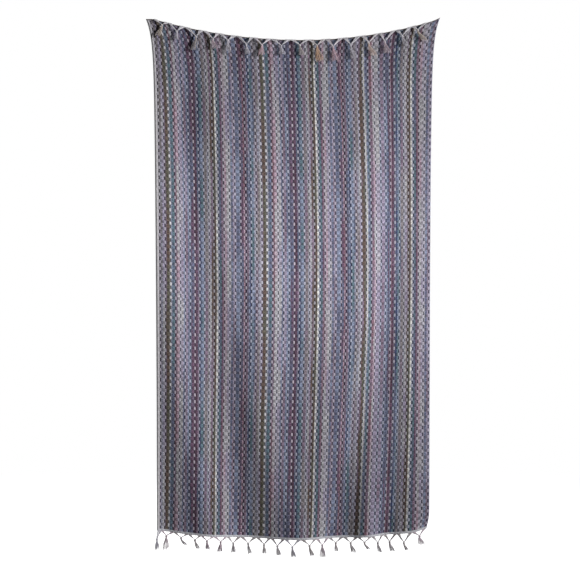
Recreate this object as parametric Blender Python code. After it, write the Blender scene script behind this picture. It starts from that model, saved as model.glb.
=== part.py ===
"""A hammam towel hung by its two top corners, with a knotted fringe along each end.

Units are metres, +Z is up and the front of the towel faces -Y.  The origin is the
middle of the top edge of the cloth.  A place on the cloth is given by two numbers:
its share of the width, 0 at the left selvedge and 1 at the right one, and its fall,
0 at the top edge and 1 at the hem.  Three nodes are built: the woven cloth with its
hem and selvedges, and one comb of tassels for the fringe of each end.
"""
from collections import namedtuple

import bmesh
import bpy
import numpy as np

# The cloth, laid flat
CLOTH_WIDTH = 1.00
CLOTH_LENGTH = 1.70
CLOTH_THICK = 0.002

# How it hangs
CORNER_REACH = 0.49       # from the middle to each held corner
SIDE_REACH = 0.453        # from the middle to each side, well down the towel
CORNER_SAG = 0.070        # height of the held corners above the middle of the top edge
LEFT_RISE = 0.077         # rise the left half would reach if its corner were not flattened
LOW_POINT = 0.032         # lowest point of the top edge, right of the middle
RIGHT_TIP = 0.005         # extra height of the pinched right corner
RIGHT_TIP_REACH = 0.015
HEM_DROP = 1.665          # middle of the hem, below the origin
HEM_LIFT = 0.030          # how much higher the two ends of the hem hang
HEM_SWING = 0.014         # how far the middle of the hem swings back

# The sides draw in below the corners, fast at first and then slowly
DRAW_IN = ((0.022, 0.055), (0.015, 0.60))    # (amount, length over which it fades)

# The flat patch of cloth at each held corner
CORNER_FLAT = 0.055
CORNER_FADE = 0.26

# The lower right corner curls in a little
CURL_SIZE = 0.035
CURL_IN = 0.007
CURL_BACK = 0.010

# Folds: where each one runs (share of the width at the top edge, half way and the hem),
# its reach to each side (share of the width), and how far it stands back from the cloth
# around it at the same three heights (metres; a negative number comes forward).
Fold = namedtuple("Fold", "top middle hem reach back_top back_middle back_hem")
FOLDS = (
    Fold(0.11, 0.185, 0.335, 0.085, 0.008, 0.020, 0.019),    # long fold from the left corner
    Fold(0.93, 0.865, 0.655, 0.080, 0.008, 0.024, 0.016),    # long fold from the right corner
    Fold(0.30, 0.330, 0.515, 0.085, 0.002, -0.004, -0.013),
    Fold(0.70, 0.700, 0.560, 0.070, -0.002, -0.005, -0.008),
    Fold(0.78, 0.780, 0.770, 0.045, 0.000, -0.004, -0.015),
    Fold(0.86, 0.900, 0.850, 0.040, 0.000, 0.001, 0.013),
    Fold(0.04, 0.050, 0.190, 0.060, -0.001, -0.007, -0.014),
    Fold(0.00, 0.000, 0.030, 0.045, 0.000, 0.003, 0.014),
)

# Faces of the cloth solid
CLOTH_COLUMNS = 44
CLOTH_ROWS = 30
ROW_CROWDING = 1.6        # rows stand closer together towards the top edge
ROW_STEPS = 400           # steps used to measure a row of the cloth along its folds

# Tassels: the knot's place right of the middle, how far the knot hangs below the edge,
# how far the tip swings to the right of the knot, and the length of the tail
Tassel = namedtuple("Tassel", "across drop sway tail")
HEM_TASSELS = (
    Tassel(-0.445, 0.024, -0.002, 0.037),
    Tassel(-0.423, 0.013, -0.003, 0.044),
    Tassel(-0.373, 0.012, 0.016, 0.022),
    Tassel(-0.326, 0.013, 0.010, 0.028),
    Tassel(-0.286, 0.012, 0.003, 0.028),
    Tassel(-0.241, 0.014, -0.003, 0.032),
    Tassel(-0.200, 0.019, 0.001, 0.029),
    Tassel(-0.150, 0.019, 0.007, 0.033),
    Tassel(-0.097, 0.019, 0.002, 0.028),
    Tassel(-0.052, 0.020, 0.005, 0.031),
    Tassel(-0.002, 0.021, 0.005, 0.033),
    Tassel(0.055, 0.017, 0.009, 0.034),
    Tassel(0.098, 0.019, 0.003, 0.040),
    Tassel(0.143, 0.015, 0.003, 0.027),
    Tassel(0.193, 0.016, 0.010, 0.031),
    Tassel(0.238, 0.014, 0.015, 0.021),
    Tassel(0.283, 0.020, 0.007, 0.030),
    Tassel(0.323, 0.022, 0.010, 0.031),
    Tassel(0.370, 0.028, 0.010, 0.022),
    Tassel(0.425, 0.015, 0.008, 0.026),
)
TOP_TASSELS = (
    Tassel(-0.440, 0.012, -0.013, 0.035),
    Tassel(-0.393, 0.022, -0.003, 0.024),
    Tassel(-0.328, 0.024, -0.009, 0.043),
    Tassel(-0.270, 0.021, 0.005, 0.031),
    Tassel(-0.220, 0.019, 0.001, 0.038),
    Tassel(-0.158, 0.025, 0.005, 0.031),
    Tassel(-0.105, 0.022, -0.003, 0.032),
    Tassel(-0.040, 0.020, 0.003, 0.028),
    Tassel(0.023, 0.017, 0.007, 0.033),
    Tassel(0.081, 0.019, 0.005, 0.053),
    Tassel(0.136, 0.026, 0.009, 0.048),
    Tassel(0.195, 0.025, 0.011, 0.046),
    Tassel(0.256, 0.026, 0.015, 0.041),
    Tassel(0.312, 0.032, 0.009, 0.036),
    Tassel(0.370, 0.024, 0.013, 0.030),
    Tassel(0.420, 0.016, 0.025, 0.034),
)

# One tooth of a comb
SPINE_HEIGHT = 0.0024
EDGE_GAP = 0.0006         # between the cloth's edge and the comb
LEG_SPREAD = 0.036        # the two legs of a tassel where they leave the edge
LEG_WIDTH = 0.0032
KNOT_WIDTH = 0.0078
KNOT_HEIGHT = 0.0070
TAIL_WIDTH = 0.0090
SHEET_HALF = 0.0010       # half thickness of the spine and the legs
KNOT_HALF = 0.0030
TAIL_HALF = 0.0020
SPINE_END = 0.008         # the spine runs this far past its first and last legs
FRONT_CLEAR = 0.0046      # the top fringe hangs this far in front of the cloth's middle


def clear_scene():
    for item in list(bpy.data.objects):
        bpy.data.objects.remove(item, do_unlink=True)


def between(top, middle, hem, fall):
    """A value given at the top, half way and the hem, read smoothly at a fall."""
    return (top * (1 - fall) * (1 - 2 * fall) + middle * 4 * fall * (1 - fall)
            + hem * fall * (2 * fall - 1))


def ease(value, low, high):
    step = np.clip((value - low) / (high - low), 0.0, 1.0)
    return step * step * (3 - 2 * step)


def side_reach(fall):
    down = fall * CLOTH_LENGTH
    return SIDE_REACH + sum(amount * np.exp(-down / fade) for amount, fade in DRAW_IN)


def fold_depth(share, fall):
    """How far back (+Y) the cloth stands, flat at the two held corners."""
    back = HEM_SWING * fall ** 2 * (1 - (2 * share - 1) ** 2)
    for fold in FOLDS:
        centre = between(fold.top, fold.middle, fold.hem, fall)
        depth = between(fold.back_top, fold.back_middle, fold.back_hem, fall)
        back = back + depth * np.exp(-((share - centre) / fold.reach) ** 2)
    for corner in (0.0, 1.0):
        away = np.hypot((share - corner) * CLOTH_WIDTH, fall * CLOTH_LENGTH)
        back = back * ease(away, CORNER_FLAT, CORNER_FADE)
    return back


def top_height(across):
    """Height of the top edge: it sags between the corners."""
    left = LEFT_RISE * ((across - LOW_POINT) / (-CORNER_REACH - LOW_POINT)) ** 2
    right = CORNER_SAG * ((across - LOW_POINT) / (CORNER_REACH - LOW_POINT)) ** 2
    tip = RIGHT_TIP * np.exp(-(CORNER_REACH - across) / RIGHT_TIP_REACH)
    middle = LEFT_RISE * (LOW_POINT / (CORNER_REACH + LOW_POINT)) ** 2
    return np.where(across < LOW_POINT, np.minimum(left, CORNER_SAG), right + tip) - middle


def cross_row(fall):
    """One row across the cloth: shares, and x and y, its length spent along the folds."""
    share = np.linspace(0.0, 1.0, ROW_STEPS + 1)
    back = fold_depth(share, fall)
    run = CLOTH_WIDTH / ROW_STEPS
    travel = np.concatenate(([0.0], np.cumsum(np.sqrt(run ** 2 - np.diff(back) ** 2))))
    reach = side_reach(fall)
    return share, -reach + 2 * reach * travel / travel[-1], back


TOP_SHARE, TOP_X, _ = cross_row(0.0)
HEM_SHARE, HEM_X, _ = cross_row(1.0)


def cloth_point(share, down):
    """The middle of the cloth's thickness, down metres below its top edge.

    Above the top edge and below the hem the place goes straight up or down.
    """
    inside = min(max(down, 0.0), CLOTH_LENGTH)
    fall = inside / CLOTH_LENGTH
    shares, xs, ys = cross_row(fall)
    top = float(top_height(np.interp(share, TOP_SHARE, TOP_X)))
    hem = -HEM_DROP + HEM_LIFT * (2 * share - 1) ** 2
    point = np.array([np.interp(share, shares, xs), np.interp(share, shares, ys),
                      top + (hem - top) * fall])
    curl = np.exp(-((1 - share) * CLOTH_WIDTH / CURL_SIZE) ** 2
                  - ((1 - fall) * CLOTH_LENGTH / CURL_SIZE) ** 2)
    point += curl * np.array([-CURL_IN, CURL_BACK, CURL_IN])
    point[2] -= down - inside
    return point


def front_normal(share, down):
    """Unit normal of the cloth, pointing to the front."""
    step = 0.002
    low, high = max(share - step, 0.0), min(share + step, 1.0)
    inside = min(max(down, step), CLOTH_LENGTH - step)
    along = cloth_point(high, inside) - cloth_point(low, inside)
    fall = cloth_point(share, inside + step) - cloth_point(share, inside - step)
    normal = np.cross(fall, along)
    return -normal / np.linalg.norm(normal) * np.sign(normal[1])


def finish_node(name, bm, colour, roughness):
    bmesh.ops.recalc_face_normals(bm, faces=bm.faces)
    mesh = bpy.data.meshes.new(name)
    bm.to_mesh(mesh)
    bm.free()
    mesh.shade_smooth()
    mesh.set_sharp_from_angle(angle=0.7)
    node = bpy.data.objects.new(name, mesh)
    bpy.context.scene.collection.objects.link(node)
    material = bpy.data.materials.new(name)
    material.use_nodes = True
    shader = material.node_tree.nodes["Principled BSDF"]
    shader.inputs["Base Color"].default_value = (*colour, 1.0)
    shader.inputs["Roughness"].default_value = roughness
    shader.inputs["Metallic"].default_value = 0.0
    mesh.materials.append(material)
    return node


def thicken(name, points, normals, halves, faces, colour):
    """Turn a sheet of shared points and faces into one closed solid."""
    bm = bmesh.new()
    front = [bm.verts.new(p + n * h) for p, n, h in zip(points, normals, halves)]
    rear = [bm.verts.new(p - n * h) for p, n, h in zip(points, normals, halves)]
    edges = set()
    for face in faces:
        bm.faces.new([front[i] for i in face])
        bm.faces.new([rear[i] for i in reversed(face)])
        for edge in zip(face, face[1:] + face[:1]):
            if edge[::-1] in edges:
                edges.remove(edge[::-1])
            else:
                edges.add(edge)
    for a, b in sorted(edges):
        bm.faces.new([front[b], front[a], rear[a], rear[b]])
    return finish_node(name, bm, colour, 0.9)


def make_cloth():
    points, normals = [], []
    for row in range(CLOTH_ROWS + 1):
        down = CLOTH_LENGTH * (row / CLOTH_ROWS) ** ROW_CROWDING
        for column in range(CLOTH_COLUMNS + 1):
            share = column / CLOTH_COLUMNS
            points.append(cloth_point(share, down))
            normals.append(front_normal(share, down))
    width = CLOTH_COLUMNS + 1
    faces = []
    for row in range(CLOTH_ROWS):
        for column in range(CLOTH_COLUMNS):
            corner = row * width + column
            faces.append([corner, corner + width, corner + width + 1, corner + 1])
    halves = [CLOTH_THICK / 2] * len(points)
    return thicken("cloth", points, normals, halves, faces, (0.16, 0.15, 0.20))


class Comb:
    """A fringe as one sheet of shared points, thickened at the end."""

    def __init__(self):
        self.points, self.normals, self.halves, self.faces = [], [], [], []

    def add(self, share, down, forward, half, lean=0.0):
        """A point on the comb; lean turns its thickness from forwards (0) to upwards (1)."""
        normal = front_normal(share, down)
        self.points.append(cloth_point(share, down) + normal * forward)
        turned = normal * (1 - lean) + np.array([0.0, 0.0, 1.0]) * lean
        self.normals.append(turned / np.linalg.norm(turned))
        self.halves.append(half)
        return len(self.points) - 1

    def strip(self, upper, lower):
        for left, right in zip(range(len(upper) - 1), range(1, len(upper))):
            self.faces.append([upper[left], lower[left], lower[right], upper[right]])

    def tail(self, roots, tassel, share, edge, forward):
        """The knot and its tail, hanging from the inner ends of two legs."""
        sway = tassel.sway / CLOTH_WIDTH
        sections = (       # down from the knot's top, half width, half thickness, sway
            (0.0, KNOT_WIDTH * 0.35, SHEET_HALF * 1.5, 0.0),
            (KNOT_HEIGHT * 0.5, KNOT_WIDTH * 0.5, KNOT_HALF, 0.0),
            (KNOT_HEIGHT, KNOT_WIDTH * 0.4, TAIL_HALF, 0.1),
            (tassel.tail * 0.6, TAIL_WIDTH * 0.42, TAIL_HALF, 0.6),
            (tassel.tail, TAIL_WIDTH * 0.5, SHEET_HALF, 1.0),
        )
        rows = []
        for down, wide, half, swing in sections:
            middle = share + sway * swing
            rows.append([self.add(middle + side * wide / CLOTH_WIDTH,
                                  edge + tassel.drop + down, forward, half)
                         for side in (-1, 0, 1)])
        for upper, lower in zip(rows, rows[1:]):
            self.strip(upper, lower)
        self.strip(roots[:2], rows[0][:2])
        self.strip(roots[2:], rows[0][1:])


def leg_shares(tassel, shares, xs):
    """Where the four edges of a tassel's two legs leave the cloth."""
    middle = float(np.interp(tassel.across, xs, shares))
    half = LEG_SPREAD / 2 / CLOTH_WIDTH
    leg = LEG_WIDTH / CLOTH_WIDTH
    first = min(max(middle - half, 2 * leg), 1 - 2 * leg - 2 * half)
    return middle, [first, first + leg, first + 2 * half - leg, first + 2 * half]


def spread_legs(tassels, shares, xs):
    """Leg places for a whole fringe, kept clear of their neighbours."""
    legs = [leg_shares(tassel, shares, xs) for tassel in tassels]
    clear = 2 * LEG_WIDTH / CLOTH_WIDTH
    for (_, before), (_, after) in zip(legs, legs[1:]):
        overlap = before[3] + clear - after[0]
        if overlap > 0:
            before[2:] = [place - overlap / 2 for place in before[2:]]
            after[:2] = [place + overlap / 2 for place in after[:2]]
    return legs


def make_hem_fringe():
    comb = Comb()
    legs = spread_legs(HEM_TASSELS, HEM_SHARE, HEM_X)
    end = SPINE_END / CLOTH_WIDTH
    places = [max(legs[0][1][0] - end, 0.003)]
    for _, four in legs:
        places += four
    places.append(min(legs[-1][1][3] + end, 0.985))
    upper = [comb.add(p, CLOTH_LENGTH + EDGE_GAP, 0.0, SHEET_HALF) for p in places]
    spine = CLOTH_LENGTH + EDGE_GAP + SPINE_HEIGHT
    lower = [comb.add(p, spine, 0.0, SHEET_HALF) for p in places]
    comb.strip(upper, lower)
    for number, (tassel, (middle, _)) in enumerate(zip(HEM_TASSELS, legs)):
        roots = lower[1 + 4 * number:5 + 4 * number]
        comb.tail(roots, tassel, middle, CLOTH_LENGTH, 0.0)
    return thicken("fringe_hem", comb.points, comb.normals, comb.halves, comb.faces,
                   (0.42, 0.38, 0.40))


def make_top_fringe():
    """The top fringe lies over the edge and hangs down in front of the cloth."""
    comb = Comb()
    legs = spread_legs(TOP_TASSELS, TOP_SHARE, TOP_X)
    end = SPINE_END / CLOTH_WIDTH
    places = [legs[0][1][0] - end]
    for _, four in legs:
        places += four
    places.append(legs[-1][1][3] + end)
    over = -(EDGE_GAP + SHEET_HALF)
    rear = [comb.add(p, over, -SPINE_HEIGHT / 2, SHEET_HALF, 1.0) for p in places]
    front = [comb.add(p, over, SPINE_HEIGHT / 2, SHEET_HALF, 0.9) for p in places]
    comb.strip(rear, front)
    for number, (tassel, (middle, four)) in enumerate(zip(TOP_TASSELS, legs)):
        roots = front[1 + 4 * number:5 + 4 * number]
        bend = [comb.add(p, -over / 2, FRONT_CLEAR - SHEET_HALF, SHEET_HALF, 0.4)
                for p in four]
        comb.strip(roots[:2], bend[:2])
        comb.strip(roots[2:], bend[2:])
        comb.tail(bend, tassel, middle, 0.0, FRONT_CLEAR + SHEET_HALF)
    return thicken("fringe_top", comb.points, comb.normals, comb.halves, comb.faces,
                   (0.48, 0.42, 0.42))


def main():
    clear_scene()
    make_cloth()
    make_hem_fringe()
    make_top_fringe()


main()
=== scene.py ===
"""A hammam towel of striped relief weave, hung by its two top corners.

A place on the cloth is given by its rib and its row of the weave. Ribs count from the left
selvedge, and each is a wide chain of oval floats with a narrow line of short floats beside
it. One row is one full repeat of the weave, counted from the top edge.
"""
import math
from collections import namedtuple

import bpy
import numpy as np
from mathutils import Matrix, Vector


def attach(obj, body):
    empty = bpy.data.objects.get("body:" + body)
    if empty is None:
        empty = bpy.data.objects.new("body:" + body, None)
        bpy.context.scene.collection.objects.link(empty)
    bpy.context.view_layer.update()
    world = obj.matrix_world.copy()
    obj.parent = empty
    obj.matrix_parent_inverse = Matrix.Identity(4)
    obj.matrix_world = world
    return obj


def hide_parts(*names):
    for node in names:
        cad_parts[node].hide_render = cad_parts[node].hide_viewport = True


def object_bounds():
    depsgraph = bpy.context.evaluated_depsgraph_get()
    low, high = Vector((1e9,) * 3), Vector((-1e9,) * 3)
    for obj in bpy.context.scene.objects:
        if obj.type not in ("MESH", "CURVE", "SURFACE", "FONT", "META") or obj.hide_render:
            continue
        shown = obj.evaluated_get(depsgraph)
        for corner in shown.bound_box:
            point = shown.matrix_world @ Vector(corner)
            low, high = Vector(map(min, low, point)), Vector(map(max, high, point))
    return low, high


bl_info = {
    "name": "Hammam towel",
    "version": (1, 0, 0),
    "blender": (4, 5, 0),
    "location": "3D View > Sidebar > Towel",
    "description": "Builds a hung hammam towel: relief weave, striped warp and knotted fringes",
    "category": "Add Mesh",
}

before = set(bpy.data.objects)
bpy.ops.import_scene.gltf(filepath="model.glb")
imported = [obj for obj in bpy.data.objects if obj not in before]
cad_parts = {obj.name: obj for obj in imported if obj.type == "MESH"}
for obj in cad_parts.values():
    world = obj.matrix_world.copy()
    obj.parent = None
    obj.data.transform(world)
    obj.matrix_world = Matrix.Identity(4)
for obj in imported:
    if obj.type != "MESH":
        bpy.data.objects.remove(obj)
CAD_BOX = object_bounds()

# ---------------------------------------------------------------- how the cloth hangs
CORNER_REACH = 0.49       # from the middle to each held corner
SIDE_REACH = 0.453        # from the middle to each side, well down the towel
CORNER_SAG = 0.070        # height of the held corners above the low point between them
LEFT_RISE = 0.077         # height that the left side would reach if its corner weren't flat
LOW_POINT = 0.032         # the top edge's low point, right of the middle
RIGHT_TIP = 0.005         # extra height of the pinched right corner
RIGHT_TIP_REACH = 0.015   # and the width of its pinch
HEM_DROP = 1.665          # from the top edge down to the middle of the hem
HEM_LIFT = 0.030          # height of the hem's ends above its middle
HEM_SWING = 0.014         # how far the middle of the hem stands back
DRAW_IN = ((0.022, 0.055), (0.015, 0.60))   # extra reach at the top, and the fall it fades in
CORNER_FLAT = 0.055       # no folds as near as this to a held corner
CORNER_FADE = 0.26        # and whole folds from here on
CURL_SIZE = 0.035         # the curl of the lower right corner
CURL_IN = 0.007           # how far its tip is drawn in and up
CURL_BACK = 0.010         # and how far back
ROW_STEPS = 400           # steps in which a row is measured along its folds

# Folds: place at the top edge, half way and the hem (share of the width), reach to each
# side, and how far each stands back at the same heights (metres, negative is forward)
Fold = namedtuple("Fold", "top middle hem reach back_top back_middle back_hem")
FOLDS = (
    Fold(0.11, 0.185, 0.335, 0.085, 0.008, 0.020, 0.019),
    Fold(0.93, 0.865, 0.655, 0.080, 0.008, 0.024, 0.016),
    Fold(0.30, 0.330, 0.515, 0.085, 0.002, -0.004, -0.013),
    Fold(0.70, 0.700, 0.560, 0.070, -0.002, -0.005, -0.008),
    Fold(0.78, 0.780, 0.770, 0.045, 0.000, -0.004, -0.015),
    Fold(0.86, 0.900, 0.850, 0.040, 0.000, 0.001, 0.013),
    Fold(0.04, 0.050, 0.190, 0.060, -0.001, -0.007, -0.014),
    Fold(0.00, 0.000, 0.030, 0.045, 0.000, 0.003, 0.014),
)

# ---------------------------------------------------------------- the fringes
# The knot's place right of the middle, its drop below the edge, the swing of the tip to
# the right of the knot, the length of the tail, the tint of the yarn and its own spread
Tassel = namedtuple("Tassel", "across drop sway tail tint spread", defaults=(1.0,))
HEM_TASSELS = (
    Tassel(-0.455, 0.026, 0.000, 0.034, "mist"),
    Tassel(-0.423, 0.013, -0.003, 0.044, "blush"),
    Tassel(-0.373, 0.012, 0.016, 0.022, "ecru"),
    Tassel(-0.326, 0.013, 0.010, 0.028, "ecru"),
    Tassel(-0.286, 0.012, 0.003, 0.028, "blush"),
    Tassel(-0.241, 0.014, -0.003, 0.032, "blush"),
    Tassel(-0.200, 0.019, 0.001, 0.029, "ecru"),
    Tassel(-0.150, 0.019, 0.007, 0.033, "ecru"),
    Tassel(-0.097, 0.019, 0.002, 0.028, "ecru"),
    Tassel(-0.052, 0.020, 0.005, 0.031, "ecru"),
    Tassel(-0.002, 0.021, 0.005, 0.033, "mist"),
    Tassel(0.055, 0.017, 0.009, 0.034, "ecru"),
    Tassel(0.098, 0.019, 0.003, 0.040, "blush", 1.3),
    Tassel(0.143, 0.015, 0.003, 0.027, "ecru"),
    Tassel(0.193, 0.016, 0.010, 0.031, "ecru"),
    Tassel(0.238, 0.014, 0.015, 0.021, "ecru"),
    Tassel(0.283, 0.020, 0.007, 0.030, "ecru"),
    Tassel(0.323, 0.022, 0.010, 0.031, "ecru"),
    Tassel(0.370, 0.028, 0.010, 0.022, "ecru"),
    Tassel(0.425, 0.015, 0.008, 0.027, "blush", 1.8),
)
TOP_TASSELS = (
    Tassel(-0.440, 0.012, -0.013, 0.035, "sand"),
    Tassel(-0.393, 0.022, -0.003, 0.024, "mist"),
    Tassel(-0.328, 0.024, -0.009, 0.043, "ecru"),
    Tassel(-0.270, 0.021, 0.005, 0.031, "blush", 1.3),
    Tassel(-0.220, 0.019, 0.001, 0.038, "mist"),
    Tassel(-0.158, 0.025, 0.005, 0.031, "mist"),
    Tassel(-0.105, 0.022, -0.003, 0.032, "petal", 1.2),
    Tassel(-0.040, 0.020, 0.003, 0.028, "mist"),
    Tassel(0.023, 0.017, 0.007, 0.033, "ecru"),
    Tassel(0.081, 0.019, 0.009, 0.053, "straw", 1.45),
    Tassel(0.136, 0.026, 0.009, 0.048, "petal", 1.2),
    Tassel(0.195, 0.025, 0.011, 0.046, "mist"),
    Tassel(0.256, 0.026, 0.015, 0.041, "peach"),
    Tassel(0.312, 0.032, 0.009, 0.036, "blush", 1.1),
    Tassel(0.370, 0.024, 0.013, 0.030, "mist"),
    Tassel(0.420, 0.016, 0.025, 0.034, "sand"),
)
# How the two ends differ: the share of warp dye in the yarns, how pale the legs are, partly
# painted light on the top legs, and how much paler the outer ones, as painted light with the
# inner ones in shade, how pale the wraps are, partly painted light at the top, and how pale the
# tails are, how much the tips fade, how wide the tails spread, where the legs root on the way to
# the next tassel, and how far apart
End = namedtuple("End", "dyed leg_pale leg_paler wrap_pale tail_pale tip_fade spread root reach")
HEM_END = End(0.25, 0.22, 0.00, 0.18, 0.15, 0.40, 1.0, 0.50, 0.48)
TOP_END = End(0.12, 0.62, 0.33, 0.55, 0.12, 0.05, 1.2, 0.42, 0.57)
# Undyed yarn; the top legs and wraps are drawn towards it as painted light
PALEST = np.array((0.90, 0.88, 0.94))     # undyed yarn
FIBRE_PALER = 0.30        # how much paler the loose fibres of a tail are
FIBRES_TO_A_YARN = 2
FIBRE_RADII = (0.00035, 0.00015)          # at the knot and at the tip
STRAND_LIGHTS = (0.82, 1.14)              # light and dark among the yarns
KNOT_HEIGHT = 0.0066
KNOT_TURNS = 1.9
WRAP_SCALE = 1.6          # a wrap's radius for one of a yarn
TIP_SCALE = 0.65          # a yarn's radius at its cut tip for one at the knot
BUNDLE_RADIUS = 0.0011    # of the yarns gathered in a leg
USUAL_TAIL = 0.030        # tails longer than this spread more


def dye(red, green, blue):
    """A yarn colour from the 0 to 255 values of a dyer's shade card, in linear light."""
    shade = [value / 255 for value in (red, green, blue)]
    return tuple(v / 12.92 if v <= 0.04045 else ((v + 0.055) / 1.055) ** 2.4 for v in shade)


# The warp, one stripe repeat: where each stripe ends, in ribs from the left of the cream
# line, and the two shades that its space-dyed yarn drifts between
Stripe = namedtuple("Stripe", "ends first second")
REPEAT_RIBS = 9.5
CREAM_LEFT = 2.60         # where the first cream line starts
CREAM_SHIFT = (0.0, 0.15, 0.0, 0.15, 0.20, 0.15)    # of each repeat, in ribs to the right
REPEAT_MARGIN = 0.6       # a repeat is counted from this far left of its cream line
DRIFT_PACE = 0.11         # how fast a yarn drifts between its shades, for each row
DRIFT_LIMITS = (0.40, 0.60)
# How the ribs are spaced: the rib that lies at each share of the width
REED_SHARES = (0.0, 0.051, 0.145, 0.226, 0.320, 0.401, 0.495, 0.577, 0.670, 0.752, 0.845,
               0.927, 1.0)
REED_RIBS = (0.0, 2.59, 7.91, 12.51, 17.14, 21.50, 26.34, 30.83, 35.58, 39.89, 45.03, 49.98,
             54.0)
# How far the warp slides across as it falls, in shares of the width, at the top edge,
# half way and the hem
Slide = namedtuple("Slide", "share top middle hem")
SLIDES = (
    Slide(0.000, 0.0000, 0.0000, 0.0000),
    Slide(0.060, -0.0125, 0.0004, -0.0140),
    Slide(0.150, -0.0105, 0.0005, -0.0085),
    Slide(0.320, -0.0135, -0.0005, -0.0181),
    Slide(0.500, -0.0150, 0.0027, -0.0155),
    Slide(0.590, -0.0189, 0.0021, -0.0230),
    Slide(0.690, -0.0243, 0.0000, -0.0255),
    Slide(0.770, -0.0295, -0.0025, -0.0305),
    Slide(0.860, -0.0185, -0.0010, -0.0210),
    Slide(0.935, -0.0175, -0.0022, -0.0175),
    Slide(1.000, 0.0000, 0.0000, 0.0000),
)
STRIPES = (
    Stripe(0.26, "cream", "flax"),
    Stripe(0.50, "haze", "steel"),
    Stripe(1.00, "teal", "indigo"),
    Stripe(1.22, "plum", "mauve"),
    Stripe(1.54, "rose", "mauve"),
    Stripe(1.98, "pink", "silver"),
    Stripe(2.75, "silver", "lilac"),
    Stripe(3.10, "steel", "indigo"),
    Stripe(3.68, "lilac", "mauve"),
    Stripe(4.38, "indigo", "steel"),
    Stripe(4.58, "slate", "plum"),
    Stripe(5.02, "plum", "indigo"),
    Stripe(5.20, "pink", "rose"),
    Stripe(5.68, "wine", "plum"),
    Stripe(6.02, "mauve", "slate"),
    Stripe(6.14, "haze", "steel"),
    Stripe(6.46, "navy", "indigo"),
    Stripe(7.02, "steel", "teal"),
    Stripe(7.28, "slate", "haze"),
    Stripe(7.82, "mauve", "taupe"),
    Stripe(8.20, "taupe", "haze"),
    Stripe(8.62, "silver", "lilac"),
    Stripe(8.92, "mauve", "umber"),
    Stripe(9.50, "olive", "umber"),
)

# The floats of the weave, in ribs
DASH_CENTRE = 0.75        # middle of the narrow line of short floats within a rib
DASH_HALF = 0.135         # half the width of that line
DASH_SWELL = 0.045        # how much wider it is where they rise
DASH_SOFTNESS = 0.035
YARN_SWAY = 0.075         # how far the yarns part round a float
ENDS_TO_A_RIB = 14
# Uneven yarn: size of its changes across and down, and their darkest and lightest
SLUB_GRAIN = (9.0, 2.2)
SLUB_LIGHTS = (0.80, 1.22)
FLECK_GRAIN = (6.0, 9.0)
FLECK_LIGHTS = (0.72, 1.34)
FUZZ_GRAIN = (40.0, 55.0)
# What dives is painted in shade: the pits darken the yarn and mix in the dark ground, and the
# ovals darken as they dive; the short floats have a pale ply
SHORT_PALE = 0.42
PIT_PAINTED_SHADE = (0.24, 0.24, 0.26, 1.0)
PIT_SHADE = 0.42
OVAL_LIGHTS = (1.08, 0.62)
# The selvedge and the end bands: where they stop, in ribs and in rows
SELVEDGE_STOP = (0.56, 0.66)
GUTTER_START = (0.08, 0.12)
GUTTER_STOP = (0.26, 0.32)
GUTTER_SHADE = 0.45
BAND_STOP = (0.28, 0.38)
TOP_BAND_NARROWER = 2.4
PICKS_TO_A_ROW = 12
PICK_SHADE = 0.74
# Bumps: distance in metres and strength
FLOAT_BUMP = (0.0014, 0.8)
END_BUMP = (0.00022, 0.6)
FUZZ_BUMP = (0.0003, 0.5)
PLY_BUMP = (0.0003, 0.6)
PLY_LIGHTS = (0.80, 1.08)
PLY_TWIST = 420.0         # turns of the ply in a metre of fringe yarn
CLOTH_SHEEN = 0.12
FRINGE_SHEEN = 0.6

# The stage: places and sizes in metres, turns in degrees, the lens in millimetres
CAMERA_PLACE = (-0.010, -4.56, -0.8325)
CAMERA_LENS = 85.0
SENSOR_WIDTH = 36.0
STRIP_PLACE = (0.36, -0.70, -0.70)
STRIP_AIM = (0.36, 0.0, -0.70)
STRIP_SIZE = (1.5, 0.15)
BACK_PLACE = (-1.8, 2.6, 0.6)
BACK_AIM = (0.0, 0.0, -0.80)
BACK_SIZE = (1.6, 1.6)
KEY_TURN = (80.0, 0.0, 57.0)
KEY_ANGLE = 1.5
FLOOR_RADIUS = 11.0
BACKDROP_RADIUS = 12.0
FLOOR_FADE = (0.8, 3.6)   # the floor's own tone ends between these distances
FLOOR_TONE = 0.90
FLOOR_GLOW = 0.74


def yarn_shade(name, description, red, green, blue):
    """A colour setting that starts as a dyer's shade."""
    return bpy.props.FloatVectorProperty(
        name=name, description=description, subtype="COLOR", size=3, min=0, max=1,
        default=dye(red, green, blue))


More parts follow.
